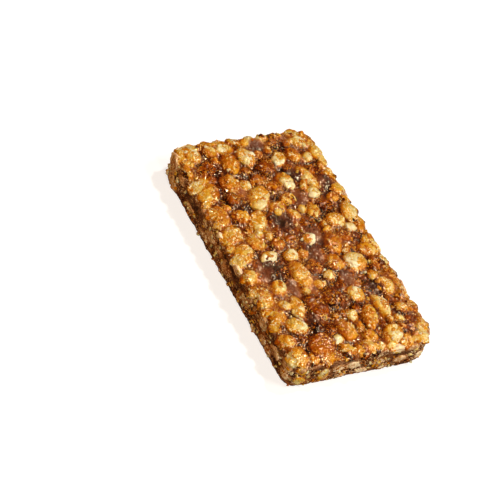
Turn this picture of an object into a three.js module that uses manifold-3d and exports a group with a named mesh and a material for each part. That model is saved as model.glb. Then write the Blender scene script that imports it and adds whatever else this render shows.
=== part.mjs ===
// A bar of pecan brittle: chopped nuts pressed into a slab of brown caramel with cut, rounded sides.
// Units are millimetres. +X runs along the bar, +Y across it and +Z up. The origin is under the
// middle of the bar, on the surface that it lies on.
import * as THREE from "three";
import { ConvexGeometry } from "three/addons/geometries/ConvexGeometry.js";
import { mergeVertices } from "three/addons/utils/BufferGeometryUtils.js";
import Module from "manifold-3d";

// Driving dimensions of the caramel slab, without the nuts that stand proud of it.
const length = 69.4;
const width = 39.4;
const thickness = 8.1;
const cornerRadii = [5, 5, 4.5, 3]; // at (+X, +Y), (-X, +Y), (-X, -Y) and (+X, -Y)
const topRound = 1.3;
const baseRound = 0.6;

// The nuts, which stand proud of the slab. A knife has cut those in its sides.
const mainProud = [0.7, 1.15]; // the least and the most
const fillProud = [0.45, 0.95];
const sideProud = [0.12, 0.42];
const topLimit = 1.2; // nothing stands further out of the slab than these
const sideLimit = 0.3;
const topTilt = 0.3; // how uneven the height of a nut's crown is
const sideTilt = 0.1;
const rootDepth = 2;

// What fills the room between the large nuts: [length, number of tries].
const topFill = [[5.2, 100], [4.3, 400], [3.4, 700], [2.6, 700]];
const sideFill = [[5.6, 100], [4.4, 200], [3.4, 300], [2.6, 200]];
const widthShare = [0.62, 0.94]; // a piece's width over its length
const closeness = 0.84; // of two pieces, over the sum of their half sizes
const topMargin = 0.4; // from a piece's middle to the slab's edge, over its length
const sideMargin = 0.35;
const sideTurn = 25;
const seed = 24;

// The nuts that stand out on top: [along, across, length, width, turn in degrees].
const mainNuts = [
  [-26.5, 18.2, 6.0, 3.4, 0], [-30.2, 15.0, 5.4, 3.6, 62], [-18.8, 11.6, 8.8, 3.4, 14],
  [-26.6, 11.4, 5.2, 4.4, 30], [-25.8, 7.0, 5.6, 3.8, -35], [-18.8, 5.2, 6.2, 4.4, 8],
  [-24.2, 2.2, 5.8, 5.0, 60], [-28.0, -1.4, 6.6, 5.0, 5], [-26.5, -6.4, 7.4, 5.2, -12],
  [-20.4, -9.8, 6.2, 5.6, 20], [-14.8, -4.2, 8.8, 5.6, -38], [-8.2, -7.9, 7.2, 5.0, -32],
  [-31.0, -14.6, 5.6, 4.0, 0], [-18.4, -16.2, 8.0, 5.2, -38], [-11.4, -16.7, 6.8, 4.8, 0],
  [-5.2, -16.4, 6.0, 5.0, -40], [0.9, -16.3, 6.8, 5.0, -30], [-1.8, -11.7, 6.0, 4.2, 15],
  [2.9, -10.6, 5.2, 3.2, -75], [-6.4, 17.3, 8.0, 4.6, -10], [-4.8, 12.2, 5.4, 4.8, 75],
  [-8.4, 7.8, 4.6, 4.0, 0], [1.9, 7.8, 7.4, 5.0, -22], [8.6, 10.6, 6.4, 5.8, 40],
  [17.0, 14.6, 6.0, 5.2, 10], [22.4, 10.5, 7.8, 3.8, 6], [30.7, 9.2, 6.8, 5.0, -50],
  [17.7, 5.8, 5.4, 4.6, 20], [24.8, 5.8, 7.6, 4.2, -20], [11.3, 2.0, 3.6, 3.2, -30],
  [17.4, -0.2, 6.8, 5.6, -10], [9.6, -5.2, 9.2, 5.2, 4], [3.5, -4.8, 4.4, 3.6, -60],
  [19.0, -5.9, 7.6, 5.8, 15], [27.2, -2.2, 7.4, 5.2, -10], [30.0, -10.2, 8.4, 6.8, -60],
  [18.4, -10.7, 7.4, 3.6, -14], [23.6, -13.4, 6.0, 4.8, 58], [12.2, -12.6, 5.0, 4.2, -20],
  [14.0, -17.3, 6.6, 4.4, -10], [19.8, -16.9, 5.0, 4.6, -50], [7.5, -17.9, 4.8, 3.4, -20],
  [31.4, -17.0, 5.8, 4.4, -10], [23.4, 1.6, 4.2, 3.4, 0], [-0.4, 2.2, 3.6, 3.2, 0],
];

// Even numbers from 0 to 1 that come out alike on every run.
function randomFrom(start) {
  let state = start >>> 0;
  return () => {
    state = (Math.imul(state, 1664525) + 1013904223) >>> 0;
    return state / 4294967296;
  };
}

const between = ([least, most], random) => least + (most - least) * random();

// ---- The slab's outline: four straight sides and four round corners ----

const quarter = Math.PI / 2;

function cornerArc(sideX, sideY) {
  const index = sideY > 0 ? (sideX > 0 ? 0 : 1) : (sideX > 0 ? 3 : 2);
  const radius = cornerRadii[index];
  const centre = new THREE.Vector2(sideX * (length / 2 - radius), sideY * (width / 2 - radius));
  return { radius, centre };
}

// The outline's arcs and straights in turn. facing is the angle that each faces where it starts.
const stretches = [[1, 1], [-1, 1], [-1, -1], [1, -1]].flatMap(([sideX, sideY], i, corners) => {
  const { radius, centre } = cornerArc(sideX, sideY);
  const next = cornerArc(...corners[(i + 1) % 4]);
  const apart = next.centre.clone().sub(centre);
  const straight = Math.abs(i % 2 === 0 ? apart.x : apart.y);
  return [
    { radius, centre, facing: i * quarter, round: true, size: radius * quarter },
    { radius, centre, facing: (i + 1) * quarter, round: false, size: straight },
  ];
});
const rim = stretches.reduce((sum, stretch) => sum + stretch.size, 0);

// The outline's point at a distance round it, and the direction that it faces there.
function outlineAt(distance) {
  let left = ((distance % rim) + rim) % rim;
  let index = 0;
  while (index < stretches.length - 1 && left > stretches[index].size) {
    left -= stretches[index].size;
    index += 1;
  }
  const { radius, centre, facing, round } = stretches[index];
  const angle = facing + (round ? left / radius : 0);
  const out = new THREE.Vector2(Math.cos(angle), Math.sin(angle));
  const point = centre.clone().addScaledVector(out, radius);
  if (!round) point.add(new THREE.Vector2(-out.y, out.x).multiplyScalar(left));
  return { point, out };
}

// How far inside the outline a point lies.
function insideBy(x, y) {
  const { radius, centre } = cornerArc(x < 0 ? -1 : 1, y < 0 ? -1 : 1);
  const overX = Math.abs(x) - Math.abs(centre.x);
  const overY = Math.abs(y) - Math.abs(centre.y);
  const over = overX > 0 && overY > 0 ? Math.hypot(overX, overY) : Math.max(overX, overY);
  return radius - over;
}

// ---- The slab ----

const arcSteps = 5;
const roundSteps = 3;

// Rows of the side from the base to the top: how far in they lie, and how high.
function sideRows() {
  const rows = [[baseRound, 0], [0, baseRound]];
  for (let i = 0; i <= roundSteps; i++) {
    const angle = (i / roundSteps) * quarter;
    rows.push([topRound * (1 - Math.cos(angle)), thickness - topRound * (1 - Math.sin(angle))]);
  }
  return rows;
}

// The outline's points: each arc in steps, with the straights between their ends.
function outlinePoints() {
  const points = [];
  let start = 0;
  for (const { round, size } of stretches) {
    for (let i = 0; round && i <= arcSteps; i++) points.push(outlineAt(start + (size * i) / arcSteps));
    start += size;
  }
  return points;
}

// A closed slab, with its sides moved out by grow and its top up by rise.
function slabGeometry(grow, rise) {
  const rows = sideRows();
  const points = outlinePoints();
  const count = points.length;
  const vertices = [0, 0, 0, 0, 0, thickness + rise];
  const faces = [];
  rows.forEach(([inset, height], row) => {
    const up = height + (rise * height) / thickness;
    const low = 2 + row * count;
    points.forEach(({ point, out }, i) => {
      const next = (i + 1) % count;
      const place = point.clone().addScaledVector(out, grow - inset);
      vertices.push(place.x, place.y, up);
      if (row === 0) faces.push(0, low + next, low + i);
      if (row === rows.length - 1) {
        faces.push(1, low + i, low + next);
      } else {
        const high = low + count;
        faces.push(low + i, low + next, high + next, low + i, high + next, high + i);
      }
    });
  });
  const geometry = new THREE.BufferGeometry();
  geometry.setAttribute("position", new THREE.Float32BufferAttribute(vertices, 3));
  geometry.setIndex(faces);
  return geometry;
}

// ---- Where the nuts lie ----

// Whether a piece keeps clear of those that already lie on the same face.
function isClear(placed, piece) {
  const size = (piece.length + piece.width) / 2;
  return placed.every((nut) => {
    const turn = THREE.MathUtils.degToRad(nut.turn);
    const du = piece.u - nut.u;
    const dv = piece.v - nut.v;
    const along = du * Math.cos(turn) + dv * Math.sin(turn);
    const across = dv * Math.cos(turn) - du * Math.sin(turn);
    return 2 * Math.hypot(along / (nut.length + size), across / (nut.width + size)) > closeness;
  });
}

// Draws pieces, the largest first, and keeps each that finds room.
function fillRoom(placed, fill, draw, hasRoom) {
  for (const [size, tries] of fill) {
    for (let i = 0; i < tries; i++) {
      const piece = draw(size);
      if (hasRoom(piece)) placed.push(piece);
    }
  }
  return placed;
}

// On the top u runs along the bar and v across it.
function placeTopNuts(random) {
  const placed = mainNuts.map(([u, v, long, wide, turn]) => (
    { u, v, length: long, width: wide, turn, proud: between(mainProud, random) }
  ));
  const draw = (size) => ({
    u: (random() - 0.5) * length,
    v: (random() - 0.5) * width,
    length: size,
    width: size * between(widthShare, random),
    turn: 180 * random(),
    proud: between(fillProud, random),
  });
  const hasRoom = (piece) => (
    insideBy(piece.u, piece.v) > piece.length * topMargin && isClear(placed, piece)
  );
  return fillRoom(placed, topFill, draw, hasRoom);
}

// On the sides u runs round the outline and v runs up.
function placeSideNuts(random) {
  const placed = [];
  const draw = (size) => ({
    u: random() * rim,
    v: between([size * sideMargin, thickness - size * sideMargin], random),
    length: size,
    width: size * between(widthShare, random),
    turn: between([-sideTurn, sideTurn], random),
    proud: between(sideProud, random),
  });
  const hasRoom = (piece) => (
    [-rim, 0, rim].every((round) => isClear(placed, { ...piece, u: piece.u + round }))
  );
  return fillRoom(placed, sideFill, draw, hasRoom);
}

// ---- The nuts' shape ----

// A nut's rings of corners: its crown on top, its brow where it goes into the slab, and its root.
// reach is a ring's size over the nut's, and a smaller nut has fewer corners.
const crownReach = 0.72;
const browReach = 1.04;
const rootReach = 0.7;
const unevenReach = [0.9, 1.1];
const unevenAngle = 0.3; // over the angle between two corners
const sizeSteps = [5, 3.5];

// A broken nut about its place on the slab's face, with flat facets between its corners.
function nutGeometry(nut, tilt, random) {
  const fewer = sizeSteps.filter((step) => nut.length <= step).length;
  const rings = [
    { count: 5 - fewer, reach: crownReach, high: nut.proud },
    { count: 7 - fewer, reach: browReach, high: 0 },
    { count: 3, reach: rootReach, high: -rootDepth },
  ];
  const corners = [];
  for (const { count, reach, high } of rings) {
    const spin = random();
    for (let i = 0; i < count; i++) {
      const angle = ((i + spin + unevenAngle * random()) / count) * 2 * Math.PI;
      const far = (reach * between(unevenReach, random)) / 2;
      const along = Math.cos(angle) * far * nut.length;
      const across = Math.sin(angle) * far * nut.width;
      corners.push(new THREE.Vector3(along, across, high - tilt * random()));
    }
  }
  return new ConvexGeometry(corners).rotateZ(THREE.MathUtils.degToRad(nut.turn));
}

function topNut(nut, random) {
  return nutGeometry(nut, topTilt, random).translate(nut.u, nut.v, thickness);
}

// A nut in the side is turned up out of lying flat, so that its crown faces out.
function sideNut(nut, random) {
  const { point, out } = outlineAt(nut.u);
  const geometry = nutGeometry(nut, sideTilt, random);
  geometry.rotateX(quarter);
  geometry.rotateZ(Math.atan2(out.y, out.x) + quarter);
  return geometry.translate(point.x, point.y, nut.v);
}

// ---- Fusing it into one solid ----

const wasm = await Module();
wasm.setup();

function solidOf(geometry) {
  const bare = geometry.clone();
  bare.deleteAttribute("normal");
  bare.deleteAttribute("uv");
  const merged = mergeVertices(bare, 1e-4);
  return new wasm.Manifold(new wasm.Mesh({
    numProp: 3,
    vertProperties: new Float32Array(merged.attributes.position.array),
    triVerts: new Uint32Array(merged.index.array),
  }));
}

function geometryOf(solid) {
  const { numProp, vertProperties, triVerts } = solid.getMesh();
  const position = [];
  for (let i = 0; i < vertProperties.length; i += numProp) {
    position.push(vertProperties[i], vertProperties[i + 1], vertProperties[i + 2]);
  }
  const geometry = new THREE.BufferGeometry();
  geometry.setAttribute("position", new THREE.Float32BufferAttribute(position, 3));
  geometry.setIndex([...triVerts]);
  geometry.computeVertexNormals();
  return geometry;
}

function barSolid() {
  const places = randomFrom(seed);
  const shapes = randomFrom(seed + 1);
  const topNuts = placeTopNuts(places).map((nut) => solidOf(topNut(nut, shapes)));
  const sideNuts = placeSideNuts(places).map((nut) => solidOf(sideNut(nut, shapes)));
  const limit = solidOf(slabGeometry(sideLimit, topLimit));
  const slab = solidOf(slabGeometry(0, 0));
  const nuts = wasm.Manifold.union([...topNuts, ...sideNuts]).intersect(limit);
  return slab.add(nuts);
}

const caramelAndNuts = new THREE.MeshStandardMaterial({
  color: 0xa86a2c,
  roughness: 0.38,
  metalness: 0,
  flatShading: true,
});

const bar = new THREE.Mesh(geometryOf(barSolid()), caramelAndNuts);
bar.name = "bar";

const brittle = new THREE.Group();
brittle.add(bar);

export default brittle;
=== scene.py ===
import math

import bmesh
import bpy
import numpy as np
from mathutils import Matrix, Quaternion, Vector


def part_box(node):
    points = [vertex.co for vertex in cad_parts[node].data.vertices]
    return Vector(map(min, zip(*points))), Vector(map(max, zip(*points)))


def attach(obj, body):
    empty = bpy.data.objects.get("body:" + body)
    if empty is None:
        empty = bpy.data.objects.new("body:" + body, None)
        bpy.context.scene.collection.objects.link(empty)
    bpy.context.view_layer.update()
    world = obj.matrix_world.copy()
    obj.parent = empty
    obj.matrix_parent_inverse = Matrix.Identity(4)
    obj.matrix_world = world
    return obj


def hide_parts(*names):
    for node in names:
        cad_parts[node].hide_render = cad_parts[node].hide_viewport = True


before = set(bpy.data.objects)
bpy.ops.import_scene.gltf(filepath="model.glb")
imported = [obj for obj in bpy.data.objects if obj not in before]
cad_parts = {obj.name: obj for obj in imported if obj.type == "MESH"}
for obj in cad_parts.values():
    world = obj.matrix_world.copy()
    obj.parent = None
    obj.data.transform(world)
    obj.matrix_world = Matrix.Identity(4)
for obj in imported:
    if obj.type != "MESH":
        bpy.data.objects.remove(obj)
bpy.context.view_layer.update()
mm = 0.001
print("frame loaded")

cameraView = {
    "azimuth": 45.86,  # degrees round the bar, from in front of its long side
    "elevation": 44.05,  # degrees
    "roll": 24.3,  # degrees
    "distance": 494,  # mm
    "aim": (-6.51, -7.94, -0.83),  # mm
    "lens": 148.3,  # mm
    "sensor": 36,  # mm
    "clipStart": 10,  # mm
}


def makeCamera(view):
    azimuth, elevation = math.radians(view["azimuth"]), math.radians(view["elevation"])
    back = Vector((
        math.sin(azimuth) * math.cos(elevation),
        -math.cos(azimuth) * math.cos(elevation),
        math.sin(elevation),
    ))
    camera = bpy.data.objects.new("camera", bpy.data.cameras.new("camera"))
    camera.data.lens = view["lens"]
    camera.data.sensor_width = view["sensor"]
    camera.data.clip_start = view["clipStart"] * mm
    camera.location = (Vector(view["aim"]) + back * view["distance"]) * mm
    camera.rotation_mode = "QUATERNION"
    rolled = Quaternion(back, math.radians(view["roll"]))
    camera.rotation_quaternion = rolled @ (-back).to_track_quat("-Z", "Y")
    bpy.context.scene.collection.objects.link(camera)
    bpy.context.scene.camera = camera


makeCamera(cameraView)
print("camera placed")

# The slab and where the nuts lie in it, in mm, by the same rule and draws as in the solid.
sideReach = 0.3  # how far the solid's side nuts stand out of the slab
barLow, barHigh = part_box("bar")
slab = {
    "length": round((barHigh.x - barLow.x) / mm - 2 * sideReach, 2),
    "width": round((barHigh.y - barLow.y) / mm - 2 * sideReach, 2),
    "thickness": 8.1,
    "cornerRadii": (5, 5, 4.5, 3),  # at (+X, +Y), (-X, +Y), (-X, -Y) and (+X, -Y)
    "topRound": 1.3,
    "baseRound": 0.6,
}
nutSizes = {
    "mainProud": (0.7, 1.15),  # how far the nuts of the first table below stand out of the top
    "fillProud": (0.45, 0.95),
    "sideProud": (0.12, 0.42),
    "topTilt": 0.3,  # how uneven the corners' heights are
    "sideTilt": 0.1,
    "rootDepth": 2,
    "topFill": ((5.2, 100), (4.3, 400), (3.4, 700), (2.6, 700)),  # length, number of tries
    "sideFill": ((5.6, 100), (4.4, 200), (3.4, 300), (2.6, 200)),
    "widthShare": (0.62, 0.94),  # a nut's width over its length
    "closeness": 0.84,  # least distance of two nuts, 1 where their outlines touch
    "topMargin": 0.4,  # least distance to the rim, as a share of the nut's length
    "sideMargin": 0.35,
    "sideTurn": 25,  # degrees
    "seed": 24,
}
# Nuts along the top's rim and cut nuts in the sides, which the solid leaves out.
addedSizes = {
    "edgeFill": ((4.4, 60), (3.6, 120), (2.8, 160)),
    "edgeProud": (0.05, 0.35),
    "edgeLean": 20,  # degrees off the top's direction
    "cutProud": 0.3,
}

# The nuts that stand out on top: along, across, length, width in mm, turn in degrees, and look.
mainNuts = (
    (-26.5, 18.2, 6.0, 3.4, 0, "golden"), (-30.2, 15.0, 5.4, 3.6, 62, "pale"),
    (-18.8, 11.6, 8.8, 3.4, 14, "golden"), (-26.6, 11.4, 5.2, 4.4, 30, "amber"),
    (-25.8, 7.0, 5.6, 3.8, -35, "pale"), (-18.8, 5.2, 6.2, 4.4, 8, "pale"),
    (-24.2, 2.2, 5.8, 5.0, 60, "toffee"), (-28.0, -1.4, 6.6, 5.0, 5, "pale"),
    (-26.5, -6.4, 7.4, 5.2, -12, "amber"), (-20.4, -9.8, 6.2, 5.6, 20, "amber"),
    (-14.8, -4.2, 8.8, 5.6, -38, "golden"), (-8.2, -7.9, 7.2, 5.0, -32, "golden"),
    (-31.0, -14.6, 5.6, 4.0, 0, "pale"), (-18.4, -16.2, 8.0, 5.2, -38, "golden"),
    (-11.4, -16.7, 6.8, 4.8, 0, "amber"), (-5.2, -16.4, 6.0, 5.0, -40, "golden"),
    (0.9, -16.3, 6.8, 5.0, -30, "golden"), (-1.8, -11.7, 6.0, 4.2, 15, "golden"),
    (2.9, -10.6, 5.2, 3.2, -75, "pale"), (-6.4, 17.3, 8.0, 4.6, -10, "pale"),
    (-4.8, 12.2, 5.4, 4.8, 75, "golden"), (-8.4, 7.8, 4.6, 4.0, 0, "golden"),
    (1.9, 7.8, 7.4, 5.0, -22, "amber"), (8.6, 10.6, 6.4, 5.8, 40, "pale"),
    (17.0, 14.6, 6.0, 5.2, 10, "golden"), (22.4, 10.5, 7.8, 3.8, 6, "pale"),
    (30.7, 9.2, 6.8, 5.0, -50, "pale"), (17.7, 5.8, 5.4, 4.6, 20, "pale"),
    (24.8, 5.8, 7.6, 4.2, -20, "amber"), (11.3, 2.0, 3.6, 3.2, -30, "golden"),
    (17.4, -0.2, 6.8, 5.6, -10, "dark"), (9.6, -5.2, 9.2, 5.2, 4, "golden"),
    (3.5, -4.8, 4.4, 3.6, -60, "pale"), (19.0, -5.9, 7.6, 5.8, 15, "toffee"),
    (27.2, -2.2, 7.4, 5.2, -10, "amber"), (30.0, -10.2, 8.4, 6.8, -60, "toffee"),
    (18.4, -10.7, 7.4, 3.6, -14, "pale"), (23.6, -13.4, 6.0, 4.8, 58, "pale"),
    (12.2, -12.6, 5.0, 4.2, -20, "golden"), (14.0, -17.3, 6.6, 4.4, -10, "amber"),
    (19.8, -16.9, 5.0, 4.6, -50, "amber"), (7.5, -17.9, 4.8, 3.4, -20, "golden"),
    (31.4, -17.0, 5.8, 4.4, -10, "golden"), (23.4, 1.6, 4.2, 3.4, 0, "golden"),
    (-0.4, 2.2, 3.6, 3.2, 0, "pale"),
)

# The cut nuts that stand out in the sides: side's direction, along it, high, length, width, and look.
mainCuts = (
    ((0, -1), -30.5, 5.6, 4.6, 2.6, "golden"), ((0, -1), -23.5, 2.8, 5.2, 2.0, "pale"),
    ((0, -1), -15.5, 2.2, 5.4, 1.8, "pale"), ((0, -1), -8.5, 4.2, 4.4, 2.4, "golden"),
    ((0, -1), -0.3, 6.8, 4.2, 2.2, "pale"), ((0, -1), 6.5, 3.7, 5.0, 2.2, "pale"),
    ((0, -1), 14.5, 5.7, 4.8, 3.6, "pale"), ((0, -1), 22.0, 4.0, 5.2, 2.6, "golden"),
    ((0, -1), 27.4, 2.8, 4.0, 2.2, "pale"), ((0, -1), 30.9, 6.2, 3.2, 3.4, "glazed"),
    ((0, -1), 31.4, 2.6, 3.0, 3.2, "glazed"), ((1, 0), -18.6, 6.6, 3.0, 3.0, "glazed"),
    ((1, 0), -18.3, 3.2, 3.2, 4.2, "glazed"), ((1, 0), -14.6, 4.4, 3.6, 2.8, "pale"),
    ((1, 0), -13.0, 1.6, 3.4, 1.8, "golden"), ((1, 0), -10.4, 4.4, 4.4, 2.8, "pale"),
    ((1, 0), -7.4, 1.8, 3.8, 2.0, "pale"), ((1, 0), -3.4, 3.7, 3.6, 2.6, "golden"),
    ((1, 0), -1.2, 1.5, 3.4, 1.8, "pale"), ((1, 0), 1.0, 6.8, 4.4, 2.2, "pale"),
    ((1, 0), 3.2, 3.2, 4.6, 2.6, "pale"), ((1, 0), 5.6, 6.4, 3.6, 2.2, "golden"),
    ((1, 0), 9.0, 3.1, 4.2, 2.6, "pale"), ((1, 0), 12.6, 2.4, 3.4, 2.4, "golden"),
    ((1, 0), 13.8, 6.4, 3.8, 2.2, "golden"), ((1, 0), 16.4, 3.6, 3.4, 3.0, "pale"),
    ((1, 0), 17.8, 6.6, 2.8, 2.2, "glazed"),
)

# Smooth patches of caramel: middle x, y, z, half sizes in x, y, z in mm, and tone.
smears = (
    (-7.0, -1.5, 8.1, 3.6, 3.2, 3, 0.16), (-20.5, 8.7, 8.1, 2.4, 1.8, 3, 0.14),
    (17.0, 11.8, 8.1, 2.6, 2.0, 3, 0.14), (7.0, -12.4, 8.1, 4.4, 3.4, 3, 0.14),
    (-31.3, 3.2, 8.1, 2.6, 2.4, 3, 0.15), (-16.8, 15.8, 8.1, 2.6, 2.2, 3, 0.2),
    (-12.0, -9.8, 8.1, 2.4, 1.8, 3, 0.15), (-1.5, 4.6, 8.1, 3.4, 2.0, 3, 0.24),
    (12.8, -8.9, 8.1, 2.8, 1.8, 3, 0.3), (4.4, 1.2, 8.1, 3.6, 2.6, 3, 0.22),
    (24.0, -8.6, 8.1, 3.6, 1.8, 3, 0.18), (-13.2, 6.4, 8.1, 2.8, 3.0, 3, 0.26),
    (12.6, 6.2, 8.1, 3.0, 1.8, 3, 0.24), (35.3, -8.4, 6.2, 3, 7.6, 1.1, 0.2),
    (35.3, 10.0, 5.2, 3, 3.6, 0.7, 0.15), (4.0, -20.3, 5.4, 7.0, 3, 1.2, 0.12),
    (-18.0, -20.3, 5.0, 6.0, 3, 1.4, 0.12), (24.0, -20.3, 6.6, 4.0, 3, 1.0, 0.16),
)


def inSmear(smear, points):
    # 0 in the middle of a smear and 1 at its rim
    return np.linalg.norm((points - np.array(smear[:3])) / np.array(smear[3:6]), axis=-1)


def randomFrom(start):
    state = start

    def draw():
        nonlocal state
        state = (state * 1664525 + 1013904223) & 0xFFFFFFFF
        return state / 4294967296

    return draw


def between(ends, draw):
    return ends[0] + (ends[1] - ends[0]) * draw()


def cornerArc(sideX, sideY):
    index = (0 if sideX > 0 else 1) if sideY > 0 else (3 if sideX > 0 else 2)
    radius = slab["cornerRadii"][index]
    centre = Vector((
        sideX * (slab["length"] / 2 - radius),
        sideY * (slab["width"] / 2 - radius),
    ))
    return radius, centre


def outlineStretches():
    # round and straight stretches in turn: radius, centre, facing in radians, is it round, and length
    corners = ((1, 1), (-1, 1), (-1, -1), (1, -1))
    stretches = []
    for i, corner in enumerate(corners):
        radius, centre = cornerArc(*corner)
        apart = cornerArc(*corners[(i + 1) % 4])[1] - centre
        straight = abs(apart.x if i % 2 == 0 else apart.y)
        facing = i * math.pi / 2
        stretches.append((radius, centre, facing, True, radius * math.pi / 2))
        stretches.append((radius, centre, facing + math.pi / 2, False, straight))
    return stretches


stretches = outlineStretches()
rim = sum(stretch[4] for stretch in stretches)


def outlineAt(distance):
    # the outline's point at a distance round it, and the direction that it faces
    left = distance % rim
    for radius, centre, facing, isRound, size in stretches:
        if left <= size:
            break
        left -= size
    angle = facing + (left / radius if isRound else 0)
    out = Vector((math.cos(angle), math.sin(angle)))
    point = centre + out * radius
    if not isRound:
        point += Vector((-out.y, out.x)) * left
    return point, out


def insideBy(x, y):
    # how far a point lies inside the outline
    radius, centre = cornerArc(-1 if x < 0 else 1, -1 if y < 0 else 1)
    overX, overY = abs(x) - abs(centre.x), abs(y) - abs(centre.y)
    over = math.hypot(overX, overY) if overX > 0 and overY > 0 else max(overX, overY)
    return radius - over


def isClear(placed, piece):
    # on top, u and v are x and y; in the sides, the distance round the outline and the height
    size = (piece["length"] + piece["width"]) / 2
    for nut in placed:
        turn = math.radians(nut["turn"])
        du, dv = piece["u"] - nut["u"], piece["v"] - nut["v"]
        along = du * math.cos(turn) + dv * math.sin(turn)
        across = dv * math.cos(turn) - du * math.sin(turn)
        apart = math.hypot(along / (nut["length"] + size), across / (nut["width"] + size))
        if 2 * apart <= nutSizes["closeness"]:
            return False
    return True


def isClearRound(placed, piece):
    # the outline's two ends meet, so a nut near one is also clear of those near the other
    return all(isClear(placed, {**piece, "u": piece["u"] + turn}) for turn in (-rim, 0, rim))


def fillRoom(placed, fill, drawPiece, hasRoom):
    for size, tries in fill:
        for _ in range(tries):
            piece = drawPiece(size)
            if hasRoom(piece):
                placed.append(piece)
    return placed


def placeTopNuts(draw):
    placed = [
        {"u": u, "v": v, "length": long, "width": wide, "turn": turn,
         "proud": between(nutSizes["mainProud"], draw), "look": look}
        for u, v, long, wide, turn, look in mainNuts
    ]

    def drawPiece(size):
        return {
            "u": (draw() - 0.5) * slab["length"],
            "v": (draw() - 0.5) * slab["width"],
            "length": size,
            "width": size * between(nutSizes["widthShare"], draw),
            "turn": 180 * draw(),
            "proud": between(nutSizes["fillProud"], draw),
        }

    def hasRoom(piece):
        inside = insideBy(piece["u"], piece["v"])
        return inside > piece["length"] * nutSizes["topMargin"] and isClear(placed, piece)

    return fillRoom(placed, nutSizes["topFill"], drawPiece, hasRoom)


def placeSideNuts(draw):
    placed = []
    sideTurn = nutSizes["sideTurn"]

    def drawPiece(size):
        margin = size * nutSizes["sideMargin"]
        return {
            "u": draw() * rim,
            "v": between((margin, slab["thickness"] - margin), draw),
            "length": size,
            "width": size * between(nutSizes["widthShare"], draw),
            "turn": between((-sideTurn, sideTurn), draw),
            "proud": between(nutSizes["sideProud"], draw),
        }

    return fillRoom(placed, nutSizes["sideFill"], drawPiece, lambda piece: isClearRound(placed, piece))


def placeEdgeNuts(draw):
    placed = []

    def drawPiece(size):
        return {
            "u": draw() * rim,
            "v": 0,
            "length": size,
            "width": size * between(nutSizes["widthShare"], draw),
            "turn": 180 * draw(),
            "proud": between(addedSizes["edgeProud"], draw),
        }

    return fillRoom(placed, addedSizes["edgeFill"], drawPiece, lambda piece: isClearRound(placed, piece))


def placeMainCuts():
    placed = []
    for (outX, outY), along, high, long, wide, look in mainCuts:
        # the straight stretch that faces the side's direction, and the way along it
        index = 2 * (round(math.atan2(outY, outX) / (math.pi / 2)) % 4) + 1
        start = sum(stretch[4] for stretch in stretches[:index])
        ahead = Vector((-outY, outX))
        u = start - stretches[index][1].dot(ahead) + along * (outX - outY)
        placed.append({"u": u % rim, "v": high, "length": long, "width": wide, "turn": 0,
                       "proud": addedSizes["cutProud"], "look": look})
    return placed


# The shape of a broken nut.
nutShape = {
    "crownReach": 0.72,  # share of the nut's half size, for its ring of corners on top
    "browReach": 1.04,  # for the ring in the face that the nut lies in
    "rootReach": 0.7,
    "unevenReach": (0.9, 1.1),
    "unevenAngle": 0.3,
    "sizeSteps": (5, 3.5),  # mm, shorter nuts than these have a corner fewer in each ring
    "middle": -0.4,  # mm, height of a nut's middle over the face that it lies in
    "halfHeight": 1.4,  # mm, of the ball that its points start from
    "chips": 8,  # broken facets added to each nut
    "chipDepth": (0.7, 0.96),  # share of the nut's reach that is left under a chip
    "chipFacing": (-0.2, 0.9),  # 1 is straight up
    "softness": (20, 60),  # how crisp the edges between its facets are
    "sunk": 0.3,  # mm, how deep the small nuts lie that are all caramel
    "sunkLength": 3.5,  # mm, toffee nuts shorter than this are sunk
    "smearSunk": 0.6,  # mm, how deep a nut lies in a smooth patch of caramel
    "smallLength": 3,  # mm, nuts shorter than this have the looks of small ones
    "fineLength": 5,  # mm, nuts on top longer than this have a finer mesh
    "edgeDistance": 4,  # mm, nuts nearer to the rim than this have the looks of edge ones
    "swell": {"top": 1.0, "side": 1.02},
    "pressFrom": {"top": 0.55, "side": 0.15},  # mm out of the slab, from where a nut is pressed flat
    "press": {"top": 0.45, "side": 0.3},
    "liftRange": (-0.5, 1),  # height over the face, where 1 is the nut's top
    "paleLitEnd": (-50, 100),  # degrees from +X, where a top nut's paler end points: toward the lamps, so that end is paler partly from its thin glaze and partly as painted light
}
# how much darker one end of a nut is than the other, for each look
coatTilt = {"toffee": 0.08, "dark": 0.04, "amber": 0.22, "golden": 0.24, "pale": 0.26, "glazed": 0.2}


def nutCorners(nut, tilt, draw):
    fewer = sum(nut["length"] <= step for step in nutShape["sizeSteps"])
    rings = (
        (5 - fewer, nutShape["crownReach"], nut["proud"]),
        (7 - fewer, nutShape["browReach"], 0),
        (3, nutShape["rootReach"], -nutSizes["rootDepth"]),
    )
    corners = []
    for count, reach, high in rings:
        spin = draw()
        for i in range(count):
            angle = (i + spin + nutShape["unevenAngle"] * draw()) / count * 2 * math.pi
            far = reach * between(nutShape["unevenReach"], draw) / 2
            along = math.cos(angle) * far * nut["length"]
            across = math.sin(angle) * far * nut["width"]
            corners.append((along, across, high - tilt * draw()))
    return corners


def randomDirection(draw):
    turn, high = 2 * math.pi * draw(), between(nutShape["chipFacing"], draw)
    flat = math.sqrt(1 - high * high)
    return Vector((flat * math.cos(turn), flat * math.sin(turn), high))


def hullPlanes(corners, draw):
    # the hull's facets, as outward normals divided by their distance from the nut's middle
    middle = Vector((0, 0, nutShape["middle"]))
    hull = bmesh.new()
    for corner in corners:
        hull.verts.new(corner)
    bmesh.ops.convex_hull(hull, input=hull.verts)
    hull.normal_update()
    planes = []
    for face in hull.faces:
        distance = face.normal.dot(face.verts[0].co - middle)
        if abs(distance) > 1e-3:  # a facet through the middle would divide by nothing
            planes.append(face.normal / distance)
    hull.free()
    for _ in range(nutShape["chips"]):
        facing = randomDirection(draw)
        reach = max(facing.dot(Vector(corner) - middle) for corner in corners)
        planes.append(facing / (reach * between(nutShape["chipDepth"], draw)))
    return np.array(planes)


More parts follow.
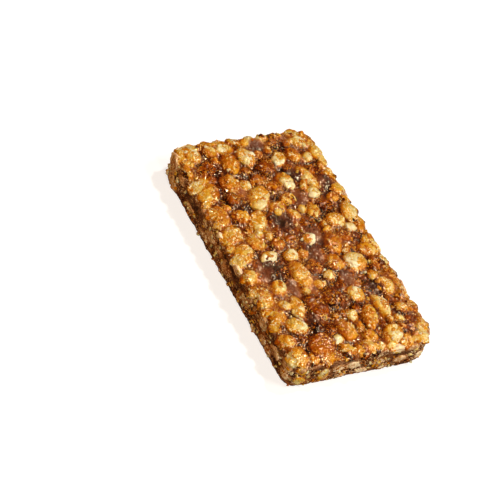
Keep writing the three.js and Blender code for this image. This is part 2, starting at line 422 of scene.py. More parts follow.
def unitBall(level):
    ball = bmesh.new()
    bmesh.ops.create_icosphere(ball, subdivisions=level, radius=1)
    points = np.array([vertex.co for vertex in ball.verts])
    faces = np.array([[vertex.index for vertex in face.verts] for face in ball.faces])
    ball.free()
    return points, faces


balls = {"coarse": unitBall(4), "fine": unitBall(5)}


def nutPoints(nut, swell):
    # each point of a ball is moved along its direction, out to the softened hull
    halves = np.array((nut["length"] / 2, nut["width"] / 2, nutShape["halfHeight"]))
    directions = balls[nut["mesh"]][0] * halves
    directions /= np.linalg.norm(directions, axis=1)[:, None]
    facing = np.maximum(directions @ nut["planes"].T, 0)
    soft = nut["softness"]
    distance = np.power(np.power(facing, soft).sum(1), -1 / soft)
    points = np.array((0, 0, nutShape["middle"])) + directions * (distance * swell)[:, None]
    over = np.maximum(points[:, 2] - nutShape["pressFrom"][nut["face"]], 0)
    points[:, 2] -= over * (1 - nutShape["press"][nut["face"]]) + nut["sunk"]
    return points


# the share of each look in each group of nuts
looks = {
    "top": (("toffee", 0.36), ("amber", 0.3), ("golden", 0.2), ("pale", 0.12), ("dark", 0.02)),
    "small": (("toffee", 0.62), ("amber", 0.2), ("golden", 0.1), ("pale", 0.08)),
    "edge": (("toffee", 0.14), ("amber", 0.34), ("golden", 0.36), ("pale", 0.16)),
    "side": (("toffee", 0.1), ("amber", 0.18), ("golden", 0.32), ("pale", 0.4)),
}
tones = {  # from dark caramel, 0, to pale cut nut, 1
    "toffee": (0.2, 0.34),
    "dark": (0.06, 0.16),
    "amber": (0.42, 0.58),
    "golden": (0.6, 0.76),
    "pale": (0.76, 0.96),
    "glazed": (0.64, 0.76),
}


def drawLook(shares, draw):
    left = draw()
    for look, share in shares:
        left -= share
        if left <= 0:
            break
    return look


def standOnOutline(nut, lean, inset, high):
    # the nut's own up is turned outwards by the lean
    point, out = outlineAt(nut["u"])
    facing = math.atan2(out.y, out.x) + math.pi / 2
    stand = Matrix.Rotation(facing, 4, "Z") @ Matrix.Rotation(lean, 4, "X")
    return Matrix.Translation((*(point - out * inset), high)) @ stand


def standNuts(topNuts, sideNuts, edgeNuts, shapes, colours):
    for nut in topNuts:
        isEdge = insideBy(nut["u"], nut["v"]) < nutShape["edgeDistance"]
        isSmall = nut["length"] < nutShape["smallLength"]
        nut["face"], nut["group"] = "top", "small" if isSmall else "edge" if isEdge else "top"
        nut["corners"] = nutCorners(nut, nutSizes["topTilt"], shapes)
        nut["matrix"] = Matrix.Translation((nut["u"], nut["v"], slab["thickness"]))
    for nut in sideNuts:
        nut["face"], nut["group"] = "side", "side"
        nut["corners"] = nutCorners(nut, nutSizes["sideTilt"], shapes)
        nut["matrix"] = standOnOutline(nut, math.pi / 2, 0, nut["v"])
    lean = math.radians(addedSizes["edgeLean"])
    inset = slab["topRound"] * (1 - math.sin(lean))
    drop = slab["topRound"] * (1 - math.cos(lean))
    for nut in edgeNuts:
        nut["face"], nut["group"] = "top", "edge"
        nut["corners"] = nutCorners(nut, nutSizes["sideTilt"], colours)
        nut["matrix"] = standOnOutline(nut, lean, inset, slab["thickness"] - drop)


def coatNut(nut, colours):
    # the nuts of the tables keep their own look, and smears cover only the others
    isMain = "look" in nut
    if not isMain:
        nut["look"] = drawLook(looks[nut["group"]], colours)
    nut["tone"] = between(tones[nut["look"]], colours)
    isSmallToffee = nut["look"] == "toffee" and nut["length"] < nutShape["sunkLength"]
    nut["sunk"] = nutShape["sunk"] if isSmallToffee or nut["group"] == "edge" else 0
    for smear in smears:
        if not isMain and inSmear(smear, np.array(nut["matrix"].translation)) < 1:
            nut["look"], nut["tone"], nut["sunk"] = "toffee", smear[-1], nutShape["smearSunk"]
    isFine = nut["length"] > nutShape["fineLength"] and nut["face"] == "top"
    nut["mesh"] = "fine" if isFine else "coarse"
    # on top, the paler end of a nut is turned toward the lit side, which is partly painted light; in the
    # sides it points anywhere
    paleLitEnd = between(nutShape["paleLitEnd"], colours) if nut["face"] == "top" else 360 * colours()
    nut["coatTurn"] = math.radians(paleLitEnd - nut["turn"])


def makeNuts():
    places, shapes, colours = [randomFrom(nutSizes["seed"] + i) for i in range(3)]
    topNuts = placeTopNuts(places)
    sideNuts = placeSideNuts(places)
    edgeNuts = placeEdgeNuts(colours)
    cuts = placeMainCuts()
    sideNuts = cuts + [nut for nut in sideNuts if isClear(cuts, nut)]
    standNuts(topNuts, sideNuts, edgeNuts, shapes, colours)
    made = topNuts + sideNuts + edgeNuts
    for number, nut in enumerate(made):
        nut["number"] = number
        nut["matrix"] = nut["matrix"] @ Matrix.Rotation(math.radians(nut["turn"]), 4, "Z")
        nut["planes"] = hullPlanes(nut["corners"], colours)
        nut["softness"] = between(nutShape["softness"], colours)
        coatNut(nut, colours)
    return made


nuts = makeNuts()
print(len(nuts), "nuts placed")


def moved(points, matrix):
    return points @ np.array(matrix.to_3x3()).T + np.array(matrix.translation)


def setAttribute(mesh, name, values):
    attribute = mesh.attributes.new(name, "FLOAT", "POINT")
    attribute.data.foreach_set("value", values.astype(np.float32))


def meshOf(name, parts):
    # each part is its points in mm, its faces, and the values of its attributes
    points, faces, values, start = [], [], {}, 0
    for partPoints, partFaces, partValues in parts:
        points.append(partPoints)
        faces.append(partFaces + start)
        start += len(partPoints)
        for key, value in partValues.items():
            values.setdefault(key, []).append(np.broadcast_to(value, len(partPoints)))
    mesh = bpy.data.meshes.new(name)
    mesh.from_pydata(np.concatenate(points) * mm, [], np.concatenate(faces))
    for key, value in values.items():
        setAttribute(mesh, key, np.concatenate(value))
    return mesh


def nutMesh(name, chosen):
    parts = []
    for nut in chosen:
        points = nutPoints(nut, nutShape["swell"][nut["face"]])
        along, across = 2 * points[:, 0] / nut["length"], 2 * points[:, 1] / nut["width"]
        end = along * math.cos(nut["coatTurn"]) + across * math.sin(nut["coatTurn"])
        values = {
            "tone": nut["tone"] + coatTilt[nut["look"]] * end,
            "lift": np.clip(points[:, 2] / nut["proud"], *nutShape["liftRange"]),
            "number": nut["number"],
        }
        parts.append((moved(points, nut["matrix"]), balls[nut["mesh"]][1], values))
    return meshOf(name, parts)


class NodeTree:
    # short ways to add, set and link nodes
    def __init__(self, tree):
        self.tree = tree
        tree.nodes.clear()

    def add(self, kind, **settings):
        node = self.tree.nodes.new(kind)
        for key, value in settings.items():
            setattr(node, key, value)
        return node

    def feed(self, socket, source):
        if isinstance(source, bpy.types.NodeSocket):
            self.tree.links.new(source, socket)
        else:
            socket.default_value = source

    def math(self, operation, *sources):
        node = self.add("ShaderNodeMath", operation=operation)
        for socket, source in zip(node.inputs, sources):
            self.feed(socket, source)
        return node.outputs[0]

    def mapped(self, value, low, high, newLow, newHigh):
        node = self.add("ShaderNodeMapRange")
        for socket, source in zip(node.inputs, (value, low, high, newLow, newHigh)):
            self.feed(socket, source)
        return node.outputs[0]

    def noise(self, place, scale, detail, number=None, roughness=0.6):
        # with a number, each nut has a noise of its own
        node = self.add("ShaderNodeTexNoise")
        if number is not None:
            node.noise_dimensions = "4D"
            self.feed(node.inputs["W"], number)
        self.feed(node.inputs["Vector"], place)
        self.feed(node.inputs["Scale"], scale)
        self.feed(node.inputs["Detail"], detail)
        self.feed(node.inputs["Roughness"], roughness)
        return node.outputs[0]

    def ramp(self, value, stops):
        node = self.add("ShaderNodeValToRGB")
        self.feed(node.inputs[0], value)
        elements = node.color_ramp.elements
        while len(elements) < len(stops):
            elements.new(0.5)
        for element, (position, colour) in zip(elements, stops):
            element.position = position
            element.color = screenColour(*colour)
        return node.outputs[0]


def screenColour(*parts):
    # a colour as seen on screen, 0 to 255, as Blender's linear colour
    shares = [part / 255 for part in parts]
    return [s / 12.92 if s < 0.04 else ((s + 0.055) / 1.055) ** 2.4 for s in shares] + [1]


numberStep = 3.7  # how far apart the noises of two nuts are

# The colour at each tone, from dark caramel, 0, to pale nut, 1.
glazedStops = (
    (0.0, (28, 3, 0)),
    (0.12, (78, 20, 1)),
    (0.26, (136, 54, 2)),
    (0.4, (176, 92, 3)),
    (0.54, (196, 128, 16)),
    (0.64, (200, 150, 44)),
    (0.74, (203, 170, 90)),
    (0.86, (209, 188, 130)),
    (1.0, (220, 206, 166)),
)
cutStops = (
    (0.0, (56, 18, 3)),
    (0.2, (100, 50, 13)),
    (0.4, (150, 84, 34)),
    (0.6, (190, 130, 76)),
    (0.8, (218, 168, 118)),
    (1.0, (240, 208, 162)),
)
dullStops = (
    (0.0, (44, 20, 12)),
    (0.25, (96, 60, 42)),
    (0.5, (140, 102, 74)),
    (0.75, (184, 150, 112)),
    (1.0, (226, 206, 166)),
)
# Sizes and heights are in mm, and patch, mottle and the grain layer say how much the tone changes; the grain
# layer's pale specks are partly real grain and partly painted glints.
finishes = {
    "caramel": {
        "stops": glazedStops, "dull": (0.42, 0.05), "poolAndShadeShare": 0, "shift": 0, "patch": 0.34, "patchSize": 6,
        "mottle": 0.16, "mottleSize": 1.4, "grain": 0.56, "grainSize": 0.38, "streak": 1,
        "roughness": 0.1, "gloss": 0.9, "bumpHeight": 0.32, "bumpSize": 0.5, "subsurface": 0.1,
    },
    "cutCaramel": {
        "stops": cutStops, "dull": (0.6, 0.4), "poolAndShadeShare": 0, "shift": 0.04, "patch": 0.2, "patchSize": 5,
        "mottle": 0.5, "mottleSize": 1.2, "grain": 1.0, "grainSize": 0.42, "streak": 1.4,
        "roughness": 0.25, "gloss": 0.4, "bumpHeight": 0.6, "bumpSize": 0.6, "subsurface": 0.05,
    },
    "nut": {
        "stops": glazedStops, "dull": None, "poolAndShadeShare": 0.2, "shift": -0.12, "patch": 0, "patchSize": 6,
        "mottle": 0.12, "mottleSize": 1.4, "grain": 0.54, "grainSize": 0.38, "streak": 1,
        "roughness": 0.13, "gloss": 0.5, "bumpHeight": 0.22, "bumpSize": 0.5, "subsurface": 0.2,
    },
    "cutNut": {
        "stops": cutStops, "dull": (0.5, 0.5), "poolAndShadeShare": 0.1, "shift": 0.06, "patch": 0, "patchSize": 5,
        "mottle": 0.25, "mottleSize": 1.2, "grain": 0.45, "grainSize": 0.42, "streak": 1.4,
        "roughness": 0.25, "gloss": 0.35, "bumpHeight": 0.4, "bumpSize": 0.6, "subsurface": 0.1,
    },
}
# Layers of noise in a finish: name, detail, and which noise gives which change of tone.
toneLayers = (
    ("patch", 1, (0.3, 0.7, -0.5, 0.5)),
    ("mottle", 3, (0.3, 0.7, -0.5, 0.5)),
    # the grain layer mostly lifts the tone in sparse pale specks: partly real grain, partly painted glints of
    # the glaze
    ("grain", 2, (0.5, 0.67, -0.18, 0.82)),
)
# What all finishes share. Calm is where the caramel is smooth.
coat = {
    "grainAndGlintPatchSize": 2.6,  # mm
    "grainAndGlintPatches": (0.38, 0.6, 0.2, 1.3),  # which noise gives which share of the grain
    "calmGrainAndGlint": 0.2,
    "dullPatchSize": 3.1,  # mm
    "dullPatches": (0.45, 0.6),  # from this noise to this it turns dull
    "calmDull": 0.6,
    "glossTint": (1.0, 0.76, 0.44, 1),
    "glowDepth": 1.2,  # mm, how far light wanders under the surface
    "glowShares": (1.0, 0.45, 0.15),  # of it, for red, green and blue
    "bumpDetail": 0.3,
}


def grainAndGlintHeight(nodes, finish, place, own, calm):
    # it comes in patches, and there is little of it where the caramel is smooth
    patches = nodes.noise(place, 1 / (coat["grainAndGlintPatchSize"] * mm), 1, own)
    patchy = nodes.mapped(patches, *coat["grainAndGlintPatches"])
    height = nodes.mapped(calm, 0, 1, finish["grain"], coat["calmGrainAndGlint"] * finish["grain"])
    return nodes.math("MULTIPLY", height, patchy)


def dulled(nodes, finish, colour, shown, place, own, lift, calm):
    # some of it is dull and greyish, between the nuts more than over them
    most = nodes.mapped(lift, 0, 1, *finish["dull"])
    patches = nodes.noise(place, 1 / (coat["dullPatchSize"] * mm), 2, own)
    share = nodes.mapped(patches, *coat["dullPatches"], 0, most)
    share = nodes.math("MAXIMUM", share, nodes.mapped(calm, 0, 1, 0, coat["calmDull"]))
    blend = nodes.add("ShaderNodeMix", data_type="RGBA")
    nodes.feed(blend.inputs[0], share)
    nodes.feed(blend.inputs[6], colour)  # A and B of the colours, whose names other sockets share
    nodes.feed(blend.inputs[7], nodes.ramp(shown, dullStops))
    return blend.outputs[2]


def makeMaterial(name, finish):
    material = bpy.data.materials.new(name)
    material.use_nodes = True
    nodes = NodeTree(material.node_tree)
    output = nodes.add("ShaderNodeOutputMaterial")
    shader = nodes.add("ShaderNodeBsdfPrincipled")
    nodes.feed(output.inputs["Surface"], shader.outputs[0])
    tone, lift, number, calm = [
        nodes.add("ShaderNodeAttribute", attribute_name=key).outputs["Fac"]
        for key in ("tone", "lift", "number", "calm")
    ]
    streaked = nodes.add("ShaderNodeVectorMath", operation="MULTIPLY")
    nodes.feed(streaked.inputs[0], nodes.add("ShaderNodeTexCoord").outputs["Object"])
    nodes.feed(streaked.inputs[1], (1, 1, finish["streak"]))
    place = streaked.outputs[0]
    # the tone wanders in patches, mottles and grains, whose pale specks are partly painted glints, and it is
    # higher on what stands proud: partly glaze pooling at a nut's foot and partly painted shade low down
    own = nodes.math("MULTIPLY", number, numberStep)
    shown = nodes.math("ADD", tone, finish["shift"])
    shown = nodes.math("MULTIPLY_ADD", lift, finish["poolAndShadeShare"], shown)
    for layer, detail, ends in toneLayers:
        scale = 1 / (finish[layer + "Size"] * mm)
        wander = nodes.mapped(nodes.noise(place, scale, detail, own), *ends)
        isGrainAndGlint = layer == "grain"
        height = grainAndGlintHeight(nodes, finish, place, own, calm) if isGrainAndGlint else finish[layer]
        shown = nodes.math("MULTIPLY_ADD", wander, height, shown)
    shown = nodes.math("MAXIMUM", shown, 0)
    colour = nodes.ramp(shown, finish["stops"])
    if finish["dull"]:
        colour = dulled(nodes, finish, colour, shown, place, own, lift, calm)
    bump = nodes.add("ShaderNodeBump")
    bumps = nodes.noise(place, 1 / (finish["bumpSize"] * mm), coat["bumpDetail"])
    nodes.feed(bump.inputs["Distance"], finish["bumpHeight"] * mm)
    nodes.feed(bump.inputs["Height"], bumps)
    for socket, source in (
        ("Base Color", colour),
        ("Roughness", finish["roughness"]),
        ("Normal", bump.outputs[0]),
        ("Specular IOR Level", finish["gloss"]),
        ("Specular Tint", coat["glossTint"]),
        ("Subsurface Weight", finish["subsurface"]),
        ("Subsurface Radius", coat["glowShares"]),
        ("Subsurface Scale", coat["glowDepth"] * mm),
    ):
        nodes.feed(shader.inputs[socket], source)
    return material


materials = {name: makeMaterial(name, finish) for name, finish in finishes.items()}
print("finishes mixed")

# Trees that roughen a surface.
socketTypes = {"Geometry": "NodeSocketGeometry", "Material": "NodeSocketMaterial", "Steps": "NodeSocketInt"}
waveNoise = {"detail": 1.5, "range": (0.25, 0.75)}


def startTree(name, inputs):
    # an input is a number, unless its last word is in the table above
    tree = bpy.data.node_groups.new(name, "GeometryNodeTree")
    for key in ("Geometry", "Material") + tuple(inputs):
        kind = socketTypes.get(key.split()[-1], "NodeSocketFloat")
        tree.interface.new_socket(key, in_out="INPUT", socket_type=kind)
    tree.interface.new_socket("Geometry", in_out="OUTPUT", socket_type="NodeSocketGeometry")
    nodes = NodeTree(tree)
    return tree, nodes, nodes.add("NodeGroupInput").outputs


def endTree(nodes, given, geometry):
    smooth = nodes.add("GeometryNodeSetShadeSmooth")
    nodes.feed(smooth.inputs["Geometry"], geometry)
    real = nodes.add("GeometryNodeRealizeInstances")
    nodes.feed(real.inputs["Geometry"], smooth.outputs[0])
    coated = nodes.add("GeometryNodeSetMaterial")
    nodes.feed(coated.inputs["Geometry"], real.outputs[0])
    nodes.feed(coated.inputs["Material"], given["Material"])
    nodes.feed(nodes.add("NodeGroupOutput").inputs[0], coated.outputs[0])
    return coated.outputs[0]


def named(nodes, attribute):
    node = nodes.add("GeometryNodeInputNamedAttribute", data_type="FLOAT")
    node.inputs["Name"].default_value = attribute
    return node.outputs["Attribute"]


def randomNumber(nodes, low, high, seed):
    node = nodes.add("FunctionNodeRandomValue", data_type="FLOAT")
    least, most = [socket for socket in node.inputs if socket.enabled and socket.type == "VALUE"][:2]
    nodes.feed(least, low)
    nodes.feed(most, high)
    node.inputs["Seed"].default_value = seed
    return [socket for socket in node.outputs if socket.enabled][0]


def storeNumber(nodes, geometry, name, value):
    node = nodes.add("GeometryNodeStoreNamedAttribute", data_type="FLOAT", domain="INSTANCE")
    nodes.feed(node.inputs["Geometry"], geometry)
    node.inputs["Name"].default_value = name
    nodes.feed(node.inputs["Value"], value)
    return node.outputs[0]


def waveInputs(waves):
    return [f"{wave} {part}" for wave in waves for part in ("Height", "Size")]


def waveHeight(nodes, given, waves, number):
    # layers of noise, each with its own height and size, as one height
    position = nodes.add("GeometryNodeInputPosition").outputs[0]
    total = 0.0
    for wave in waves:
        scale = nodes.math("DIVIDE", 1.0, given[f"{wave} Size"])
        noise = nodes.noise(position, scale, waveNoise["detail"], number)
        signed = nodes.mapped(noise, *waveNoise["range"], -1.0, 1.0)
        total = nodes.math("MULTIPLY_ADD", signed, given[f"{wave} Height"], total)
    return total


def pushOut(nodes, geometry, height):
    offset = nodes.add("ShaderNodeVectorMath", operation="SCALE")
    nodes.feed(offset.inputs[0], nodes.add("GeometryNodeInputNormal").outputs[0])
    nodes.feed(offset.inputs["Scale"], height)
    push = nodes.add("GeometryNodeSetPosition")
    nodes.feed(push.inputs["Geometry"], geometry)
    nodes.feed(push.inputs["Offset"], offset.outputs[0])
    return push.outputs[0]


def pointsOf(mesh):
    points = np.zeros(len(mesh.vertices) * 3, np.float32)
    mesh.vertices.foreach_get("co", points)
    return points.reshape(-1, 3)


def makePiece(name, mesh, tree, values):
    # the tree is run on the mesh, and its result is kept as a plain mesh
    piece = bpy.data.objects.new(name, mesh)
    bpy.context.scene.collection.objects.link(piece)
    modifier = piece.modifiers.new(tree.name, "NODES")
    modifier.node_group = tree
    for item in tree.interface.items_tree:
        if item.in_out == "INPUT" and item.name in values:
            modifier[item.identifier] = values[item.name]
    evaluated = piece.evaluated_get(bpy.context.evaluated_depsgraph_get())
    made = bpy.data.meshes.new_from_object(evaluated)
    piece.modifiers.clear()
    piece.data = made
    points = pointsOf(made)
    points[:, 2] = np.maximum(points[:, 2], 0)  # nothing reaches below what the bar lies on
    made.vertices.foreach_set("co", points.ravel())
    made.update()
    return piece


def finishPiece(piece):
    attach(piece, "root")
    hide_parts("bar")
    print(piece.name, len(piece.data.polygons), "faces")


brokenFace = {
    "Chip Height": 0.34 * mm,
    "Chip Size": 2.2 * mm,
    "Crumb Height": 0.16 * mm,
    "Crumb Size": 0.9 * mm,
    "Grain Height": 0.05 * mm,
    "Grain Size": 0.4 * mm,
}
cutFace = {**brokenFace, "Chip Height": 0.2 * mm, "Crumb Height": 0.12 * mm}
# The name of each piece, the faces and looks of its nuts, its finish and its surface.
nutPieces = (
    ("pale_nuts", ("top pale",), "nut", brokenFace),
    ("golden_nuts", ("top golden", "side glazed"), "nut", brokenFace),
    ("amber_nuts", ("top amber",), "nut", brokenFace),
    ("coated_nuts", ("top toffee", "top dark"), "nut", brokenFace),
    ("cut_nuts", ("side pale", "side golden", "side amber"), "cutNut", cutFace),
)


def makeNutTree():
    waves = ("Chip", "Crumb", "Grain")
    tree, nodes, given = startTree("brokenNut", waveInputs(waves))
    own = nodes.math("MULTIPLY", named(nodes, "number"), numberStep)
    height = waveHeight(nodes, given, waves, own)
    endTree(nodes, given, pushOut(nodes, given["Geometry"], height))
    return tree


nutTree = makeNutTree()
for name, kinds, finish, surface in nutPieces:
    chosen = [nut for nut in nuts if nut["face"] + " " + nut["look"] in kinds]
    values = {**surface, "Material": materials[finish]}
    finishPiece(makePiece(name, nutMesh(name, chosen), nutTree, values))

# The caramel is one skin over the slab and the nuts.
caramelSizes = {
    "voxel": 0.31,  # mm
    "outlineStep": 0.6,  # mm
    "roundSteps": 6,
    "socket": {"top": 1.0, "side": 0.93},  # how much of a bare nut's size the caramel over it takes
    "tone": 0.27,
    "sideTone": 0.24,
    "paintedNutShade": 0.1,  # painted shade: how much darker the caramel is painted right beside a nut, where its contact shadow falls
    "rimTone": 0.2,  # how much paler the top's rim is
    "glaze": (0.18, 0.5),  # tone of the film over the darkest nut, and what the palest adds
    "nutReach": 1.6,  # mm off the face that a nut lies in, past which it colours nothing
    "liftEnds": (0.75, 1.15),  # distance from a nut, 1 at its outline, where the film thins out
    "paintedNutShadeStart": (0.8, 1.0),
    "paintedNutShadeEnd": (1.05, 1.4),
    "smearEnds": (0.6, 1.15),
    "topBand": (1.6, 0.3),  # mm under the top's face, where the side ends and where the top starts
    "rimBand": (0.5, 4),  # mm inside the outline, where the rim's tone fades
    "rimHeights": (5, 8),  # mm
    "underHeights": (0.1, 0.6),  # mm
}
setSurface = {
    "Lump Height": 0.2 * mm,
    "Lump Size": 2.4 * mm,
    "Ripple Height": 0.16 * mm,
    "Ripple Size": 1 * mm,
    "Grain Height": 0.1 * mm,
    "Grain Size": 0.55 * mm,
    "Hollow Depth": 0.55 * mm,  # how far it sinks where no nut lies under it
    "Under Depth": 0.14 * mm,
    "Side Share": 0.9,  # of the waves' height
    "Under Share": 0.4,
    "Calm Share": 0.5,
    "Melt Steps": 3,
    "Border Size": 1.5 * mm,  # of the ragged line between the glazed top and the cut sides
    "Border Place": 0.6,
    "Material": materials["caramel"],
    "Side Material": materials["cutCaramel"],
}
borderSway = (0.3, 0.7, -0.5, 0.5)  # which noise shifts the ragged line how far


def edgeRows():
    # how far in and how high each row of the slab's side lies, from the underside up
    steps = caramelSizes["roundSteps"]
    quarter = [i / steps * math.pi / 2 for i in range(steps + 1)]
    base, top, high = slab["baseRound"], slab["topRound"], slab["thickness"]
    rows = [(base * (1 - math.sin(angle)), base * (1 - math.cos(angle))) for angle in quarter]
    rows += [(top * (1 - math.cos(angle)), high - top * (1 - math.sin(angle))) for angle in quarter]
    return rows


def slabPart():
    steps = int(rim / caramelSizes["outlineStep"])
    rows = edgeRows()
    points = []
    for inset, height in rows:
        for i in range(steps):
            point, out = outlineAt(rim * i / steps)
            points.append((*(point - out * inset), height))
    base, top, last = len(points), len(points) + 1, (len(rows) - 1) * steps
    points += [(0, 0, 0), (0, 0, slab["thickness"])]
    faces = []
    for i in range(steps):
        after = (i + 1) % steps
        faces += [(base, after, i), (top, last + i, last + after)]
        for low in range(0, last, steps):
            high = low + steps
            faces += [(low + i, low + after, high + after), (low + i, high + after, high + i)]
    return np.array(points), np.array(faces), {}


def roughCaramel():
    # the slab and the nuts in one skin
    parts = [slabPart()]
    for nut in nuts:
        face = nut["face"]
        points = nutPoints(nut, nutShape["swell"][face] * caramelSizes["socket"][face])
        parts.append((moved(points, nut["matrix"]), balls[nut["mesh"]][1], {}))
    rough = bpy.data.objects.new("roughCaramel", meshOf("roughCaramel", parts))
    bpy.context.scene.collection.objects.link(rough)
    remesh = rough.modifiers.new("remesh", "REMESH")
    remesh.mode = "VOXEL"
    remesh.voxel_size = caramelSizes["voxel"] * mm
    evaluated = rough.evaluated_get(bpy.context.evaluated_depsgraph_get())
    mesh = bpy.data.meshes.new_from_object(evaluated)
    bpy.data.objects.remove(rough)
    return mesh


def smoothStep(low, high, value):
    share = np.clip((value - low) / (high - low), 0, 1)
    return share * share * (3 - 2 * share)


def nearestNut(points):
    # how far the nearest nut is, 0 at its middle and 1 at its outline, and its tone
    farAway = 9.0
    nearest = np.full(len(points), farAway)
    tone = np.full(len(points), 0.0)
    for nut in nuts:
        local = (points - np.array(nut["matrix"].translation)) @ np.array(nut["matrix"].to_3x3())
        far = np.hypot(local[:, 0] / nut["length"], local[:, 1] / nut["width"]) * 2
        far[np.abs(local[:, 2]) > caramelSizes["nutReach"]] = farAway
        closer = far < nearest
        nearest[closer] = far[closer]
        tone[closer] = nut["tone"]
    return nearest, tone


def markCaramel(mesh):
    # lift is 1 over a nut and 0 between nuts, and calm is 1 in a smooth patch
    sizes = caramelSizes
    points = pointsOf(mesh) / mm
    high = points[:, 2]
    nearest, tone = nearestNut(points)
    lift = 1 - smoothStep(*sizes["liftEnds"], nearest)
    glaze = sizes["glaze"][0] + sizes["glaze"][1] * tone
    sideEnd, topStart = [slab["thickness"] - depth for depth in sizes["topBand"]]
    onTop = smoothStep(sideEnd, topStart, high)
    bare = sizes["sideTone"] + (sizes["tone"] - sizes["sideTone"]) * onTop
    # painted shade: the caramel on top is darkened in a ring just outside each nut, where its contact shadow
    # falls
    paintedNutShade = smoothStep(*sizes["paintedNutShadeStart"], nearest) * (1 - smoothStep(*sizes["paintedNutShadeEnd"], nearest)) * onTop
    shown = bare + (glaze - bare) * lift - sizes["paintedNutShade"] * paintedNutShade
    calm = np.zeros(len(points))
    for smear in smears:
        share = 1 - smoothStep(*sizes["smearEnds"], inSmear(smear, points))
        shown += (smear[-1] - shown) * share
        calm = np.maximum(calm, share)
    inside = np.array([insideBy(x, y) for x, y, z in points])
    atRim = 1 - smoothStep(*sizes["rimBand"], inside)
    shown += sizes["rimTone"] * atRim * smoothStep(*sizes["rimHeights"], high)
    under = 1 - smoothStep(*sizes["underHeights"], high)
    marks = {"lift": lift, "tone": shown, "calm": calm, "onTop": onTop, "under": under}
    for name, values in marks.items():
        setAttribute(mesh, name, values)


def makeSkinTree():
    # the skin is melted smooth, gets waves, and sinks where no nut lies under it
    waves = ("Lump", "Ripple", "Grain")
    sizes = [key for key in setSurface if key != "Material"]
    tree, nodes, given = startTree("setCaramel", sizes)
    blur = nodes.add("GeometryNodeBlurAttribute", data_type="FLOAT_VECTOR")
    nodes.feed(blur.inputs["Value"], nodes.add("GeometryNodeInputPosition").outputs[0])
    nodes.feed(blur.inputs["Iterations"], given["Melt Steps"])
    melted = nodes.add("GeometryNodeSetPosition")
    nodes.feed(melted.inputs["Geometry"], given["Geometry"])
    nodes.feed(melted.inputs["Position"], blur.outputs["Value"])
    # the waves are lower underneath, in the sides and in smooth patches
    under, onTop = named(nodes, "under"), named(nodes, "onTop")
    onSide = nodes.mapped(onTop, 0, 1, given["Side Share"], 1)
    share = nodes.math("MULTIPLY", nodes.mapped(under, 0, 1, 1, given["Under Share"]), onSide)
    inCalm = nodes.mapped(named(nodes, "calm"), 0, 1, 1, given["Calm Share"])
    share = nodes.math("MULTIPLY", inCalm, share)
    height = nodes.math("MULTIPLY", waveHeight(nodes, given, waves, None), share)
    bare = nodes.math("SUBTRACT", 1.0, named(nodes, "lift"))
    hollow = nodes.math("MULTIPLY", nodes.math("MULTIPLY", bare, onTop), given["Hollow Depth"])
    sunk = nodes.math("MULTIPLY_ADD", under, given["Under Depth"], hollow)
    total = nodes.math("SUBTRACT", height, sunk)
    skin = endTree(nodes, given, pushOut(nodes, melted.outputs[0], total))
    # the sides have the finish of a cut, up to a ragged line under the rim
    cut = nodes.add("GeometryNodeSetMaterial")
    nodes.feed(cut.inputs["Geometry"], skin)
    position = nodes.add("GeometryNodeInputPosition").outputs[0]
    scale = nodes.math("DIVIDE", 1.0, given["Border Size"])
    ragged = nodes.mapped(nodes.noise(position, scale, 2), *borderSway)
    border = nodes.math("ADD", onTop, ragged)
    nodes.feed(cut.inputs["Selection"], nodes.math("LESS_THAN", border, given["Border Place"]))
    nodes.feed(cut.inputs["Material"], given["Side Material"])
    nodes.feed(nodes.tree.nodes["Group Output"].inputs[0], cut.outputs[0])
    return tree


caramelMesh = roughCaramel()
markCaramel(caramelMesh)
caramel = makePiece("caramel", caramelMesh, makeSkinTree(), setSurface)
finishPiece(caramel)

# Crumbs are small broken bits stuck all over the caramel.
topCrumbs = {
    "Least Gap": 1.1 * mm,
    "Density": 1.2e6,  # to the square metre
    "Top Share": 0.3,  # of the density
    "Side Share": 0.7,
    "Nut Share": 0.12,  # of the top's, over a nut
    "Calm Share": 0.05,
    "Calm Reach": 0.6,
    "Small Size": 0.25 * mm,
    "Large Size": 0.8 * mm,
    "Narrow Share": 0.6,  # least width over length
    "Thin Share": 0.45,
    "Sink Depth": 0.1 * mm,
    "Uneven Height": 0.5 * mm,
    "Uneven Size": 0.8 * mm,
    "Low Tone": 0.3,
    "High Tone": 0.95,
    "Lift": 0.8,
    "Material": materials["nut"],
}
crumbBall = {"Segments": 7, "Rings": 5, "Radius": 1.0}
crumbTurn = (0.6, 0.6, 6.28)  # radians, the most about each axis
crumbSeeds = {"places": 5, "turns": 6, "sizes": 7, "widths": 8, "tones": 9}


def crumbShare(nodes, given):
    # there are few over a nut, none underneath, and hardly any in a smooth patch
    onTop = named(nodes, "onTop")
    bare = nodes.math("SUBTRACT", 1.0, named(nodes, "lift"))
    side = nodes.math("SUBTRACT", nodes.math("SUBTRACT", 1.0, onTop), named(nodes, "under"))
    onSide = nodes.math("MULTIPLY", side, given["Side Share"])
    top = nodes.math("MULTIPLY", nodes.mapped(bare, 0, 1, given["Nut Share"], 1), onTop)
    share = nodes.math("MULTIPLY_ADD", top, given["Top Share"], onSide)
    inCalm = nodes.mapped(named(nodes, "calm"), 0, given["Calm Reach"], 1, given["Calm Share"])
    return nodes.math("MULTIPLY", share, inCalm)


